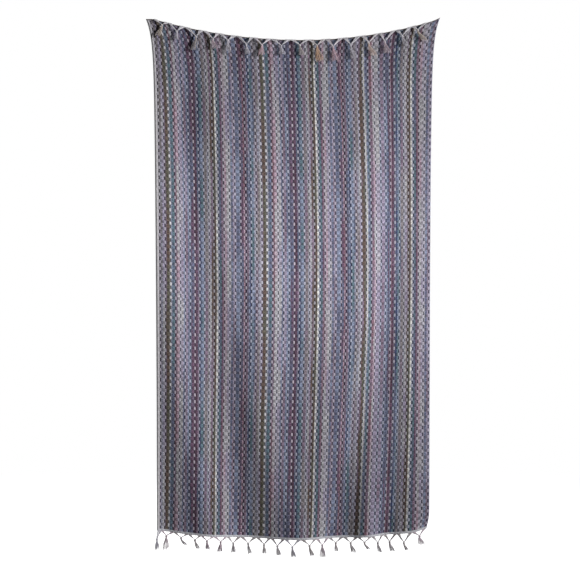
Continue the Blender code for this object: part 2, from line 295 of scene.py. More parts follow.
class TowelYarns(bpy.types.PropertyGroup):
    """The shades of the dyed yarns."""
    cream: yarn_shade("Cream", "The bright line that starts each stripe repeat", 208, 206, 204)
    flax: yarn_shade("Flax", "Greyed shade of the cream line", 182, 180, 180)
    silver: yarn_shade("Silver", "Pale neutral grey yarn", 172, 170, 176)
    teal: yarn_shade("Teal", "Green-blue yarn beside the cream line", 96, 116, 128)
    indigo: yarn_shade("Indigo", "Mid blue-violet yarn", 104, 108, 132)
    slate: yarn_shade("Slate", "Dark grey-blue yarn", 92, 98, 120)
    navy: yarn_shade("Navy", "Darkest blue yarn", 62, 70, 102)
    steel: yarn_shade("Steel", "Light blue-grey yarn", 132, 140, 164)
    rose: yarn_shade("Rose", "Dark rose yarn", 130, 100, 112)
    pink: yarn_shade("Pink", "Pale rose yarn", 172, 150, 165)
    plum: yarn_shade("Plum", "Dark violet yarn", 104, 82, 102)
    wine: yarn_shade("Wine", "Dark red-violet yarn", 86, 66, 82)
    lilac: yarn_shade("Lilac", "Pale violet yarn", 154, 146, 168)
    haze: yarn_shade("Haze", "Pale grey-violet yarn", 150, 150, 166)
    taupe: yarn_shade("Taupe", "Warm grey yarn", 136, 130, 134)
    mauve: yarn_shade("Mauve", "Red-violet grey yarn", 130, 114, 132)
    olive: yarn_shade("Olive", "Green-brown yarn", 99, 96, 87)
    umber: yarn_shade("Umber", "Brown yarn", 102, 87, 82)
    pale: yarn_shade("Pale", "Undyed yarn twisted into the short floats", 212, 210, 224)
    # Partly the dark ground of the weave and partly painted shade, in the pits where a float
    # dives
    shade: yarn_shade("Ground", "Dark ground seen where a float dives", 40, 42, 58)
    selvedge: yarn_shade("Selvedge", "Plain pale band along the left side", 222, 219, 224)
    header: yarn_shade("Header", "Pale band across the hem", 240, 240, 248)
    ecru: yarn_shade("Ecru", "Warm grey fringe yarn", 182, 170, 168)
    blush: yarn_shade("Blush", "Pale pink yarn", 210, 184, 196)
    petal: yarn_shade("Petal", "Rose fringe yarn", 214, 168, 182)
    mist: yarn_shade("Mist", "Pale grey-violet fringe yarn", 200, 196, 208)
    straw: yarn_shade("Straw", "Pale brown fringe yarn", 234, 184, 134)
    peach: yarn_shade("Peach", "Pale orange fringe yarn", 234, 204, 188)
    sand: yarn_shade("Sand", "Beige fringe yarn", 216, 196, 178)


class TowelCloth(bpy.types.PropertyGroup):
    """Sizes of the woven cloth, laid flat."""
    width: bpy.props.FloatProperty(
        name="Width", description="Flat width between the selvedges",
        default=1.00, min=0.3, max=2.0, unit="LENGTH")
    length: bpy.props.FloatProperty(
        name="Length", description="Flat woven length between the fringes",
        default=1.70, min=0.3, max=3.0, unit="LENGTH")
    thickness: bpy.props.FloatProperty(
        name="Thickness", description="Thickness of the cloth under its relief",
        default=0.0011, min=0.0002, max=0.005, unit="LENGTH")
    relief: bpy.props.FloatProperty(
        name="Relief", description="How far the floats stand out of the cloth",
        default=0.0010, min=0.0, max=0.004, unit="LENGTH")
    ribs: bpy.props.IntProperty(
        name="Ribs", description="Ribs of the weave across the cloth",
        default=54, min=5, max=150)
    repeats: bpy.props.IntProperty(
        name="Repeats", description="Weave repeats down the cloth",
        default=76, min=10, max=300)


class TowelFringe(bpy.types.PropertyGroup):
    """Sizes of the fringes."""
    strands: bpy.props.IntProperty(
        name="Strands", description="Yarns gathered into one tassel",
        default=14, min=4, max=30)
    strand_radius: bpy.props.FloatProperty(
        name="Strand radius", description="Radius of one yarn",
        default=0.00105, min=0.0002, max=0.003, unit="LENGTH", precision=5)
    knot_radius: bpy.props.FloatProperty(
        name="Knot radius", description="Radius of the turns of a knot, to the yarn's middle",
        default=0.0027, min=0.001, max=0.01, unit="LENGTH", precision=5)
    flare: bpy.props.FloatProperty(
        name="Flare", description="How far the tip of a tassel spreads to each side",
        default=0.0068, min=0.001, max=0.03, unit="LENGTH", precision=5)
    clearance: bpy.props.FloatProperty(
        name="Clearance", description="Knots of the top fringe to the middle of the cloth",
        default=0.0108, min=0.002, max=0.02, unit="LENGTH", precision=5)


class TowelStage(bpy.types.PropertyGroup):
    """Light and floor."""
    room_light: bpy.props.FloatProperty(
        name="Room light", description="Even light from all round",
        default=0.05, min=0.0, max=3.0)
    strip_power: bpy.props.FloatProperty(
        name="Strip light", description="Power of the wide light in front of the towel",
        default=6.0, min=0.0, max=2000.0, subtype="POWER")
    key_strength: bpy.props.FloatProperty(
        name="Key light", description="Strength of the far light from the right",
        default=2.40, min=0.0, max=20.0)
    back_power: bpy.props.FloatProperty(
        name="Back light", description="Power of the light behind the towel",
        default=110.0, min=0.0, max=2000.0, subtype="POWER")
    floor_drop: bpy.props.FloatProperty(
        name="Floor", description="Gap between the lowest tassel and the floor",
        default=0.16, min=0.0, max=1.0, unit="LENGTH")


# ---------------------------------------------------------------- the hung surface
def between(top, middle, hem, fall):
    """A value given at the top, half way and the hem, read smoothly at a fall."""
    return (top * (1 - fall) * (1 - 2 * fall) + middle * 4 * fall * (1 - fall)
            + hem * fall * (2 * fall - 1))


def ease(value, low, high):
    """0 up to the low limit, 1 from the high one on, and smooth between."""
    step = np.clip((value - low) / (high - low), 0.0, 1.0)
    return step * step * (3 - 2 * step)


def top_height(across):
    """Height of the top edge above its middle."""
    left = LEFT_RISE * ((across - LOW_POINT) / (-CORNER_REACH - LOW_POINT)) ** 2
    right = CORNER_SAG * ((across - LOW_POINT) / (CORNER_REACH - LOW_POINT)) ** 2
    tip = RIGHT_TIP * np.exp(-(CORNER_REACH - across) / RIGHT_TIP_REACH)
    middle = LEFT_RISE * (LOW_POINT / (CORNER_REACH + LOW_POINT)) ** 2
    return np.where(across < LOW_POINT, np.minimum(left, CORNER_SAG), right + tip) - middle


def reed_share(ribs, cloth, fall):
    """The share of the width at which each rib lies, at one fall."""
    scale = cloth.ribs / REED_RIBS[-1]
    share = np.interp(ribs, np.array(REED_RIBS) * scale, REED_SHARES)
    slides = [between(s.top, s.middle, s.hem, fall) for s in SLIDES]
    return share + np.interp(share, [s.share for s in SLIDES], slides)


class HungSheet:
    """The middle surface of the hung cloth, read by share of width and distance down."""

    def __init__(self, cloth):
        self.width = cloth.width
        self.length = cloth.length
        self.rows = {}
        self.share = np.linspace(0.0, 1.0, ROW_STEPS + 1)
        self.top_x = self.row(0.0)[0]
        self.hem_x = self.row(1.0)[0]

    def fold_depth(self, share, fall):
        """How far the cloth stands back at each share, at one fall."""
        back = HEM_SWING * fall ** 2 * (1 - (2 * share - 1) ** 2)
        for fold in FOLDS:
            centre = between(fold.top, fold.middle, fold.hem, fall)
            depth = between(fold.back_top, fold.back_middle, fold.back_hem, fall)
            back = back + depth * np.exp(-((share - centre) / fold.reach) ** 2)
        for corner in (0.0, 1.0):
            away = np.hypot((share - corner) * self.width, fall * self.length)
            back = back * ease(away, CORNER_FLAT, CORNER_FADE)
        return back

    def row(self, fall):
        """x and y along one row of the cloth, its length spent along the folds."""
        if fall not in self.rows:
            back = self.fold_depth(self.share, fall)
            run = self.width / ROW_STEPS
            steps = np.sqrt(run ** 2 - np.diff(back) ** 2)
            travel = np.concatenate(([0.0], np.cumsum(steps)))
            down = fall * self.length
            reach = SIDE_REACH + sum(size * np.exp(-down / fade) for size, fade in DRAW_IN)
            self.rows[fall] = (-reach + 2 * reach * travel / travel[-1], back)
        return self.rows[fall]

    def points(self, share, down):
        """Points of one row, for an array of shares."""
        inside = min(max(down, 0.0), self.length)
        fall = inside / self.length
        xs, ys = self.row(fall)
        top = top_height(np.interp(share, self.share, self.top_x))
        hem = -HEM_DROP + HEM_LIFT * (2 * share - 1) ** 2
        curl = np.exp(-((1 - share) * self.width / CURL_SIZE) ** 2
                      - ((1 - fall) * self.length / CURL_SIZE) ** 2)
        return np.stack([np.interp(share, self.share, xs) - CURL_IN * curl,
                         np.interp(share, self.share, ys) + CURL_BACK * curl,
                         top + (hem - top) * fall + CURL_IN * curl - (down - inside)], -1)

    def front(self, share, down):
        """Unit normal to the front at one place."""
        step = 0.002
        low, high = max(share - step, 0.0), min(share + step, 1.0)
        inside = min(max(down, step), self.length - step)
        along = self.points(np.array([low, high]), inside)
        above = self.points(np.array([share]), inside - step)[0]
        below = self.points(np.array([share]), inside + step)[0]
        normal = np.cross(below - above, along[1] - along[0])
        return -normal / np.linalg.norm(normal) * np.sign(normal[1])

    def place(self, share, down, forward=0.0):
        """One point, forward metres in front of the middle of the cloth."""
        point = self.points(np.array([share]), down)[0]
        return point + self.front(share, down) * forward


# ---------------------------------------------------------------- small helpers
def new_object(name, points, faces):
    """A smooth mesh object in the scene."""
    mesh = bpy.data.meshes.new(name)
    mesh.from_pydata(points.tolist(), [], faces.tolist())
    mesh.validate()
    mesh.shade_smooth()
    piece = bpy.data.objects.new(name, mesh)
    bpy.context.scene.collection.objects.link(piece)
    return piece


def write_uv(mesh, name, per_point):
    """A UV map from one (u, v) for each point of the mesh."""
    layer = mesh.uv_layers.new(name=name)
    corner_points = np.empty(len(mesh.loops), dtype=np.int32)
    mesh.loops.foreach_get("vertex_index", corner_points)
    layer.data.foreach_set("uv", per_point[corner_points].astype(np.float32).ravel())


class Graph:
    """Short calls to build a material's nodes."""

    def __init__(self, name):
        self.material = bpy.data.materials.new(name)
        self.material.use_nodes = True
        self.tree = self.material.node_tree
        self.shader = self.tree.nodes["Principled BSDF"]

    def node(self, kind, **settings):
        made = self.tree.nodes.new(kind)
        for setting, value in settings.items():
            setattr(made, setting, value)
        return made

    def feed(self, socket, value):
        if isinstance(value, bpy.types.NodeSocket):
            self.tree.links.new(value, socket)
        else:
            socket.default_value = value

    def math(self, operation, *values):
        made = self.node("ShaderNodeMath", operation=operation)
        for socket, value in zip(made.inputs, values):
            self.feed(socket, value)
        return made.outputs[0]

    def mix(self, factor, first, second, blend="MIX"):
        made = self.node("ShaderNodeMix", data_type="RGBA", blend_type=blend)
        self.feed(made.inputs[0], factor)
        self.feed(made.inputs[6], first)
        self.feed(made.inputs[7], second)
        return made.outputs[2]

    def step(self, value, low, high, to_low=0.0, to_high=1.0):
        """A soft step between two limits."""
        made = self.node("ShaderNodeMapRange", interpolation_type="SMOOTHSTEP")
        for socket, given in zip(made.inputs, (value, low, high, to_low, to_high)):
            self.feed(socket, given)
        return made.outputs[0]

    def vector(self, *values):
        made = self.node("ShaderNodeCombineXYZ")
        for socket, value in zip(made.inputs, values):
            self.feed(socket, value)
        return made.outputs[0]

    def noise(self, where, scale=1.0, detail=1.0):
        made = self.node("ShaderNodeTexNoise")
        self.feed(made.inputs["Vector"], where)
        self.feed(made.inputs["Scale"], scale)
        self.feed(made.inputs["Detail"], detail)
        return made.outputs[0]

    def grain(self, across, down, size, seed, detail):
        """Noise on the weave, with its own size across and down."""
        return self.noise(self.vector(self.math("MULTIPLY", across, size[0]),
                                      self.math("MULTIPLY", down, size[1]), seed),
                          1.0, detail)

    def rounded(self, place):
        """Height of a round back: 1 at place 0, and 0 at place 1."""
        return self.math("SQRT", self.math("MAXIMUM", 0.0, self.math(
            "SUBTRACT", 1.0, self.math("MULTIPLY", place, place))))

    def ramp(self, value, colours):
        """Bands of constant colour, given as (start, colour)."""
        made = self.node("ShaderNodeValToRGB")
        made.color_ramp.interpolation = "CONSTANT"
        stops = made.color_ramp.elements
        for start, colour in colours[1:]:
            stops.new(start).color = colour
        stops[0].color = colours[0][1]
        while len(stops) > len(colours):
            stops.remove(stops[len(stops) - 1])
        self.feed(made.inputs[0], value)
        return made.outputs[0]

    def bump(self, height, distance, strength, normal=None):
        made = self.node("ShaderNodeBump")
        self.feed(made.inputs["Height"], height)
        self.feed(made.inputs["Distance"], distance)
        self.feed(made.inputs["Strength"], strength)
        if normal is not None:
            self.feed(made.inputs["Normal"], normal)
        return made.outputs[0]

    def cotton(self, colour, normal, sheen):
        """Matt cotton: the finish that all the yarns share."""
        sockets = self.shader.inputs
        self.feed(sockets["Base Color"], colour)
        self.feed(sockets["Normal"], normal)
        sockets["Roughness"].default_value = 0.92
        sockets["Specular IOR Level"].default_value = 0.18
        sockets["Sheen Weight"].default_value = sheen
        sockets["Sheen Roughness"].default_value = 0.55
        return self.material


def stripe_bands(yarns, which):
    """The stripe repeat as colour bands for a ramp."""
    bands, start = [], 0.0
    for stripe in STRIPES:
        bands.append((start / REPEAT_RIBS, (*getattr(yarns, getattr(stripe, which)), 1.0)))
        start = stripe.ends
    return bands


def woven_cotton(scene):
    """The relief weave: chains of oval floats with lines of short pale floats between."""
    yarns, cloth = scene.towel_yarns, scene.towel_cloth
    graph = Graph("woven_cotton")
    uv = graph.node("ShaderNodeUVMap", uv_map="weave")
    split = graph.node("ShaderNodeSeparateXYZ")
    graph.feed(split.inputs[0], uv.outputs[0])
    rib, row = split.outputs[0], split.outputs[1]
    side = graph.node("ShaderNodeAttribute", attribute_name="side").outputs["Fac"]
    facing = graph.math("SUBTRACT", 1.0, graph.math("MULTIPLY", side, 2.0))

    # One turn of the weave: the short floats rise as the ovals dive
    turn = graph.math("MULTIPLY", row, 2 * math.pi)
    rise = graph.math("MULTIPLY", graph.math("COSINE", turn), facing)
    offset = graph.math("SUBTRACT", graph.math("FRACT", graph.math(
        "ADD", rib, 1.5 - DASH_CENTRE)), 0.5)
    away = graph.math("ABSOLUTE", offset)
    half = graph.math("ADD", DASH_HALF, graph.math("MULTIPLY", rise, DASH_SWELL))
    dash = graph.step(graph.math("SUBTRACT", half, away), -DASH_SOFTNESS, DASH_SOFTNESS)
    shift = graph.math("MULTIPLY", graph.math("MULTIPLY", rise, YARN_SWAY), graph.math(
        "SINE", graph.math("MULTIPLY", offset, 2 * math.pi)))
    end = graph.math("SUBTRACT", rib, shift)

    # Striped warp, drifting between two shades along each yarn
    count = graph.math("FLOOR", graph.math("DIVIDE", graph.math(
        "SUBTRACT", end, CREAM_LEFT - REPEAT_MARGIN), REPEAT_RIBS))
    slots = len(CREAM_SHIFT) + 2
    slips = [((index + 1) / slots, (slip, slip, slip, 1.0))
             for index, slip in enumerate(CREAM_SHIFT)]
    slip = graph.ramp(graph.math("DIVIDE", graph.math("ADD", count, 1.5), float(slots)),
                      [(0.0, slips[0][1])] + slips)
    repeat = graph.math("DIVIDE", graph.math("SUBTRACT", graph.math(
        "SUBTRACT", end, CREAM_LEFT), slip), REPEAT_RIBS)
    place = graph.math("FRACT", repeat)
    first = graph.ramp(place, stripe_bands(yarns, "first"))
    second = graph.ramp(place, stripe_bands(yarns, "second"))
    marks, start = [], 0.0
    for index, stripe in enumerate(STRIPES):
        level = index / len(STRIPES)
        marks.append((start / REPEAT_RIBS, (level, level, level, 1.0)))
        start = stripe.ends
    mark = graph.ramp(place, marks)
    lane = graph.math("ADD", graph.math("MULTIPLY", mark, 90.0),
                      graph.math("MULTIPLY", graph.math("FLOOR", repeat), 7.3))
    drift = graph.noise(graph.vector(lane, graph.math("MULTIPLY", row, DRIFT_PACE), 0.0))
    drift = graph.step(drift, *DRIFT_LIMITS)
    yarn = graph.mix(drift, first, second)

    # Uneven yarn, light and dark along each end
    slub = graph.grain(end, row, SLUB_GRAIN, 0.0, 2.0)
    slub = graph.step(slub, 0.25, 0.75, *SLUB_LIGHTS)
    fleck = graph.grain(end, row, FLECK_GRAIN, 3.7, 1.0)
    slub = graph.math("MULTIPLY", slub, graph.step(fleck, 0.38, 0.62, *FLECK_LIGHTS))
    yarn = graph.mix(1.0, yarn, graph.vector(slub, slub, slub), "MULTIPLY")

    # Floats stand in the light, and what dives between them is in shade
    up = graph.step(rise, -0.25, 0.35)
    short = graph.mix(SHORT_PALE, yarn, (*yarns.pale, 1.0))
    # Painted shade in the pits: the yarn darkened and mixed with the dark ground
    pit = graph.mix(PIT_SHADE, graph.mix(1.0, yarn, PIT_PAINTED_SHADE, "MULTIPLY"),
                    (*yarns.shade, 1.0))
    short = graph.mix(up, pit, short)
    dive = graph.step(rise, -0.3, 0.9, *OVAL_LIGHTS)
    oval = graph.mix(1.0, yarn, graph.vector(dive, dive, dive), "MULTIPLY")
    colour = graph.mix(dash, oval, short)

    # The plain left selvedge and the bands at both ends
    from_end = graph.math("MINIMUM", row,
                          graph.math("SUBTRACT", float(cloth.repeats), row))
    side_band = graph.step(rib, *SELVEDGE_STOP, 1.0, 0.0)
    hem = graph.step(row, 1.0, 2.0)
    from_end = graph.math("MULTIPLY", from_end,
                          graph.step(hem, 0.0, 1.0, TOP_BAND_NARROWER, 1.0))
    end_band = graph.step(from_end, *BAND_STOP, 1.0, 0.0)
    plain = graph.math("MAXIMUM", side_band, end_band)
    gutter = graph.math("SUBTRACT", graph.step(rib, *GUTTER_START),
                        graph.step(rib, *GUTTER_STOP))
    picks = graph.math("SINE", graph.math("MULTIPLY", row, 2 * math.pi * PICKS_TO_A_ROW))
    picks = graph.math("SUBTRACT", graph.step(picks, -1.0, 1.0, PICK_SHADE, 1.0),
                       graph.math("MULTIPLY", gutter, GUTTER_SHADE))
    # The top band is painted dark umber, as painted shade along the top edge; the hem's band is
    # the pale header
    ends = graph.mix(hem, (*yarns.umber, 1.0), (*yarns.header, 1.0))
    edge = graph.mix(end_band, (*yarns.selvedge, 1.0), ends)
    band = graph.mix(1.0, edge, graph.vector(picks, picks, picks), "MULTIPLY")
    colour = graph.mix(plain, colour, band)

    # Relief: rounded floats, then single ends of yarn, then fuzz
    along = graph.step(graph.math("MULTIPLY", rise, -1.0), -0.5, 0.6)
    middle = graph.math("DIVIDE", graph.math("SUBTRACT", 0.5, away),
                        graph.math("SUBTRACT", 0.5, half))
    within = graph.math("DIVIDE", away, half)
    low = graph.math("MULTIPLY", graph.math("ADD", along, 0.35), graph.rounded(middle))
    high = graph.math("MULTIPLY", up, graph.rounded(within))
    raised = graph.bump(graph.math("MAXIMUM", low, high), *FLOAT_BUMP)
    ends = graph.math("SINE", graph.math("MULTIPLY", end, 2 * math.pi * ENDS_TO_A_RIB))
    raised = graph.bump(ends, *END_BUMP, raised)
    fuzz = graph.grain(rib, row, FUZZ_GRAIN, 0.0, 2.0)
    raised = graph.bump(fuzz, *FUZZ_BUMP, raised)
    return graph.cotton(colour, raised, CLOTH_SHEEN)


def fringe_yarn():
    """Twisted cotton yarn, each strand in its own shade."""
    graph = Graph("fringe_yarn")
    shade = graph.node("ShaderNodeAttribute", attribute_name="shade").outputs["Color"]
    uv = graph.node("ShaderNodeUVMap", uv_map="yarn")
    split = graph.node("ShaderNodeSeparateXYZ")
    graph.feed(split.inputs[0], uv.outputs[0])
    turns = graph.math("ADD", graph.math("MULTIPLY", split.outputs[0], 2.0),
                       graph.math("MULTIPLY", split.outputs[1], PLY_TWIST))
    ply = graph.math("SINE", graph.math("MULTIPLY", turns, 2 * math.pi))
    lit = graph.step(ply, -1.0, 1.0, *PLY_LIGHTS)
    colour = graph.mix(1.0, shade, graph.vector(lit, lit, lit), "MULTIPLY")
    return graph.cotton(colour, graph.bump(ply, *PLY_BUMP), FRINGE_SHEEN)


# ---------------------------------------------------------------- the cloth
def weave_grid(cloth):
    """Points across at the middle of each line of floats, and four rows to a repeat."""
    floats = DASH_CENTRE - 0.5 + np.arange(2 * cloth.ribs) / 2
    ribs = np.concatenate(([0.0], floats, [float(cloth.ribs)]))
    rows = np.arange(4 * cloth.repeats + 1) / 4
    return ribs, rows


class TOWEL_OT_cloth(bpy.types.Operator):
    """Weave the cloth on the folds in which it hangs"""
    bl_idname = "towel.cloth"
    bl_label = "Woven cloth"

    def execute(self, context):
        cloth = context.scene.towel_cloth
        sheet = HungSheet(cloth)
        ribs, rows = weave_grid(cloth)
        falls = rows / cloth.repeats
        middle = np.array([sheet.points(reed_share(ribs, cloth, fall), fall * cloth.length)
                           for fall in falls])
        down = np.gradient(middle, axis=0)
        along = np.gradient(middle, axis=1)
        front = np.cross(along, down)
        front /= np.linalg.norm(front, axis=2, keepdims=True)
        front *= np.where(front[..., 1:2] > 0, -1.0, 1.0)

        rib, row = np.meshgrid(ribs, rows)
        phase = 2 * np.pi * (row + rib - DASH_CENTRE)
        from_side = np.minimum(rib, cloth.ribs - rib)
        from_end = np.minimum(row, cloth.repeats - row)
        calm = ease(from_side, 0.2, 0.7) * ease(from_end, 0.2, 0.7)
        wave = (cloth.relief * calm * np.cos(phase))[..., None]
        half = cloth.thickness / 2
        points = np.concatenate([(middle + front * (wave + half)).reshape(-1, 3),
                                 (middle + front * (wave - half)).reshape(-1, 3)])

        wide, tall = len(ribs), len(rows)
        index = np.arange(wide * tall).reshape(tall, wide)
        quads = np.stack([index[:-1, :-1], index[1:, :-1], index[1:, 1:], index[:-1, 1:]], -1)
        quads = quads.reshape(-1, 4)
        rim = np.concatenate([index[:, 0], index[-1, 1:], index[-2::-1, -1], index[0, -2:0:-1]])
        after = np.roll(rim, -1)
        offset = wide * tall
        edge = np.stack([after, rim, rim + offset, after + offset], -1)
        faces = np.concatenate([quads, quads[:, ::-1] + offset, edge])
        piece = new_object("towel_cloth", points, faces)

        flat = np.stack([rib.ravel(), row.ravel()], -1)
        write_uv(piece.data, "weave", np.concatenate([flat, flat]))
        side = piece.data.attributes.new("side", "FLOAT", "POINT")
        side.data.foreach_set("value", np.repeat([0.0, 1.0], offset).astype(np.float32))
        piece.data.materials.append(woven_cotton(context.scene))

        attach(piece, "root")
        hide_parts("cloth")
        return {"FINISHED"}


# ---------------------------------------------------------------- the fringes
class YarnMesh:
    """Yarns as thin round tubes, gathered into one mesh."""

    def __init__(self):
        self.points, self.faces, self.uv, self.shades = [], [], [], []
        self.count = 0

    def tube(self, path, radius, shade, end_radius=None, sides=5, fade=0.0):
        """A closed tube along a path, with a UV of turns round and metres along. Its
        shade turns paler by the fade towards the far end."""
        path = np.asarray(path)
        radii = np.linspace(radius, radius if end_radius is None else end_radius, len(path))
        tangent = np.gradient(path, axis=0)
        tangent /= np.linalg.norm(tangent, axis=1, keepdims=True)
        side = np.cross(tangent, [0.0, 1.0, 0.02])
        side /= np.linalg.norm(side, axis=1, keepdims=True)
        other = np.cross(tangent, side)
        angles = 2 * np.pi * np.arange(sides) / sides
        rings = (path[:, None] + radii[:, None, None]
                 * (np.cos(angles)[None, :, None] * side[:, None]
                    + np.sin(angles)[None, :, None] * other[:, None]))
        steps = np.linalg.norm(np.diff(path, axis=0), axis=1)
        metres = np.concatenate(([0.0], np.cumsum(steps)))
        around, along = np.meshgrid(np.arange(sides) / sides, metres)
        base = self.count
        self.points.append(rings.reshape(-1, 3))
        self.uv.append(np.stack([around.ravel(), along.ravel()], -1))
        paler = fade * (metres / metres[-1])[:, None] ** 1.5
        shades = np.insert(shade + (PALEST - shade) * paler, 3, 1.0, axis=1)
        self.shades.append(np.repeat(shades, sides, axis=0))
        self.count += rings.shape[0] * sides
        for low in range(base, self.count - sides, sides):
            for i in range(sides):
                j = (i + 1) % sides
                self.faces.append((low + i, low + j, low + j + sides, low + i + sides))
        self.faces.append(tuple(range(base + sides - 1, base - 1, -1)))
        self.faces.append(tuple(range(self.count - sides, self.count)))

    def build(self, name, material):
        mesh = bpy.data.meshes.new(name)
        mesh.from_pydata(np.concatenate(self.points).tolist(), [], self.faces)
        mesh.shade_smooth()
        write_uv(mesh, "yarn", np.concatenate(self.uv))
        shade = mesh.attributes.new("shade", "FLOAT_COLOR", "POINT")
        shade.data.foreach_set("color",
                               np.concatenate(self.shades).astype(np.float32).ravel())
        mesh.materials.append(material)
        piece = bpy.data.objects.new(name, mesh)
        bpy.context.scene.collection.objects.link(piece)
        return piece


def bezier(a, b, c, d, count):
    """Points along a curve from a to d that b and c bend."""
    t = np.linspace(0.0, 1.0, count)[:, None]
    return (a * (1 - t) ** 3 + 3 * b * t * (1 - t) ** 2 + 3 * c * t ** 2 * (1 - t)
            + d * t ** 3)


def warp_shade(yarns, rib, turn):
    """The shade of the warp at a rib; turn picks between its two dyes."""
    place = (rib - CREAM_LEFT) % REPEAT_RIBS
    stripe = next(s for s in STRIPES if place < s.ends)
    first = np.array(getattr(yarns, stripe.first))
    return first + (np.array(getattr(yarns, stripe.second)) - first) * turn


def knot_path(centre, radius, height, tilt):
    """Two rising turns that tuck in at both ends."""
    t = np.linspace(0.0, 1.0, 24)
    angle = 2 * np.pi * KNOT_TURNS * t + tilt
    out = radius * np.sin(np.pi * np.clip(t * 1.15 - 0.075, 0.02, 0.98)) ** 0.35
    return centre + np.stack([out * np.cos(angle), out * np.sin(angle),
                              height * (t - 0.5) + 0.15 * radius * np.sin(angle * 2)], -1)


class FringeMaker:
    """Ties the tassels of one end."""

    def __init__(self, scene, tassels, looks, seed, over_edge):
        self.yarns = scene.towel_yarns
        self.size = scene.towel_fringe
        self.cloth = scene.towel_cloth
        self.sheet = HungSheet(self.cloth)
        self.tassels = tassels
        self.looks = looks
        self.over_edge = over_edge
        self.edge = 0.0 if over_edge else self.cloth.length
        self.forward = self.size.clearance if over_edge else 0.0
        self.ribs = np.arange(0.0, self.cloth.ribs + 0.25, 0.25)
        self.reed = reed_share(self.ribs, self.cloth, 0.0 if over_edge else 1.0)
        self.draw = np.random.default_rng(seed)
        self.mesh = YarnMesh()

    def shares(self):
        xs = self.sheet.top_x if self.over_edge else self.sheet.hem_x
        return [float(np.interp(t.across, xs, self.sheet.share)) for t in self.tassels]

    def strand_shade(self, share, tassel, paleness_and_light):
        """The tassel's tint with some of the warp's own dye, lighter or darker by chance, and
        paler by the given share, which on the top legs and wraps is partly painted light.
        """
        rib = float(np.interp(share, self.reed, self.ribs))
        warp = warp_shade(self.yarns, rib, self.draw.random())
        tint = np.array(getattr(self.yarns, tassel.tint))
        mixed = tint + (warp - tint) * self.looks.dyed
        mixed = mixed + (PALEST - mixed) * paleness_and_light
        return np.clip(mixed * self.draw.uniform(*STRAND_LIGHTS), 0.0, 0.95)

    def leg(self, root, fork, knot_top, angle):
        """One yarn from the cloth's edge into the knot, gathered with its neighbours."""
        sheet, drop = self.sheet, 0.0012
        if self.over_edge:
            head = [sheet.place(root, drop, 0.0), sheet.place(root, -0.0006, 0.0006),
                    sheet.place(root, -0.0006, 0.0028), sheet.place(root, 0.0018, 0.0056)]
            gather = sheet.place(fork, 0.0044, 0.0074)
        else:
            head = [sheet.place(root, self.edge - drop, 0.0),
                    sheet.place(root, self.edge + 0.0012, 0.0)]
            gather = sheet.place(fork, self.edge + 0.0030, 0.0)
        path = bezier(head[-1], head[-1] * 0.35 + gather * 0.65,
                      gather * 0.45 + knot_top * 0.55, knot_top, 7)
        t = np.linspace(0.0, 1.0, 7)[:, None]
        turn = angle + 4.0 * t
        bundle = BUNDLE_RADIUS * np.sin(np.pi * t) ** 0.5
        path = path + bundle * np.concatenate([np.cos(turn), 0.8 * np.sin(turn),
                                               np.zeros_like(turn)], 1)
        return np.concatenate([head[:-1], path])

    def tie(self, share, low, high, tassel):
        """One tassel: its two legs, its knot and its tail."""
        size, draw, looks = self.size, self.draw, self.looks
        knot_top = self.sheet.place(share, self.edge + tassel.drop, self.forward)
        centre = knot_top - np.array([0.0, 0.0, KNOT_HEIGHT / 2])
        count = size.strands
        for number in range(count):
            way = -1 if number % 2 else 1
            reach = (number // 2 + 0.5) / (count // 2)
            reach = looks.root + looks.reach * reach
            end_share = high if way > 0 else low
            root = share + (end_share - share) * reach
            fork = share + (end_share - share) * (0.30 + 0.52 * reach)
            end = knot_top + np.array([way * 0.0010, draw.uniform(-0.001, 0.001), 0.0])
            # Painted light: the top legs, the outer ones most, are drawn paler as if lit
            paleness_and_light = looks.leg_pale + looks.leg_paler * reach
            self.mesh.tube(self.leg(root, fork, end, draw.uniform(0, 6.28)),
                           size.strand_radius, self.strand_shade(root, tassel, paleness_and_light))
        # Painted light: the top knots' wraps are drawn paler as if lit
        wrap = self.strand_shade(share, tassel, looks.wrap_pale)
        for turn in (0.0, math.pi):
            path = knot_path(centre, size.knot_radius, KNOT_HEIGHT * 0.62,
                             turn + draw.uniform(0, 1))
            self.mesh.tube(path, size.strand_radius * WRAP_SCALE,
                           wrap * draw.uniform(0.88, 1.08))
        self.tail(centre, share, tassel)

    def tail(self, centre, share, tassel):
        """Loose ends below the knot, spreading towards their cut tips."""
        size, draw, looks = self.size, self.draw, self.looks
        count = size.strands
        for number in range((1 + FIBRES_TO_A_YARN) * count):
            fibre = number >= count
            angle = 2 * math.pi * (number + draw.uniform(-0.4, 0.4)) / count
            spoke = np.array([math.cos(angle), 0.45 * math.sin(angle), 0.0])
            start = centre + spoke * 0.0015 - np.array([0.0, 0.0, KNOT_HEIGHT * 0.30])
            reach = tassel.tail * draw.uniform(0.78, 1.0)
            if fibre:
                reach *= draw.uniform(0.85, 1.06)
            flare = size.flare * draw.uniform(0.35, 1.0) * min(1.3, tassel.tail / USUAL_TAIL)
            flare *= tassel.spread * looks.spread
            sway = np.array([tassel.sway * (reach / tassel.tail) ** 1.2, 0.0, 0.0])
            tip = start + sway + spoke * flare - np.array([0.0, 0.0, reach])
            bend = start + spoke * flare * 0.35 - np.array([0.0, 0.0, reach * 0.35])
            curl = draw.uniform(-0.0022, 0.0022, 3) * np.array([1.0, 0.5, 0.0])
            path = bezier(start, bend, tip + curl + np.array([0.0, 0.0, reach * 0.35]), tip,
                          5 if fibre else 7)
            paleness_and_light = looks.tail_pale + (FIBRE_PALER if fibre else 0.0)
            shade = self.strand_shade(share, tassel, paleness_and_light)
            if fibre:
                self.mesh.tube(path, FIBRE_RADII[0], shade, FIBRE_RADII[1], sides=3,
                               fade=looks.tip_fade)
            else:
                self.mesh.tube(path, size.strand_radius, shade,
                               size.strand_radius * TIP_SCALE, fade=looks.tip_fade)

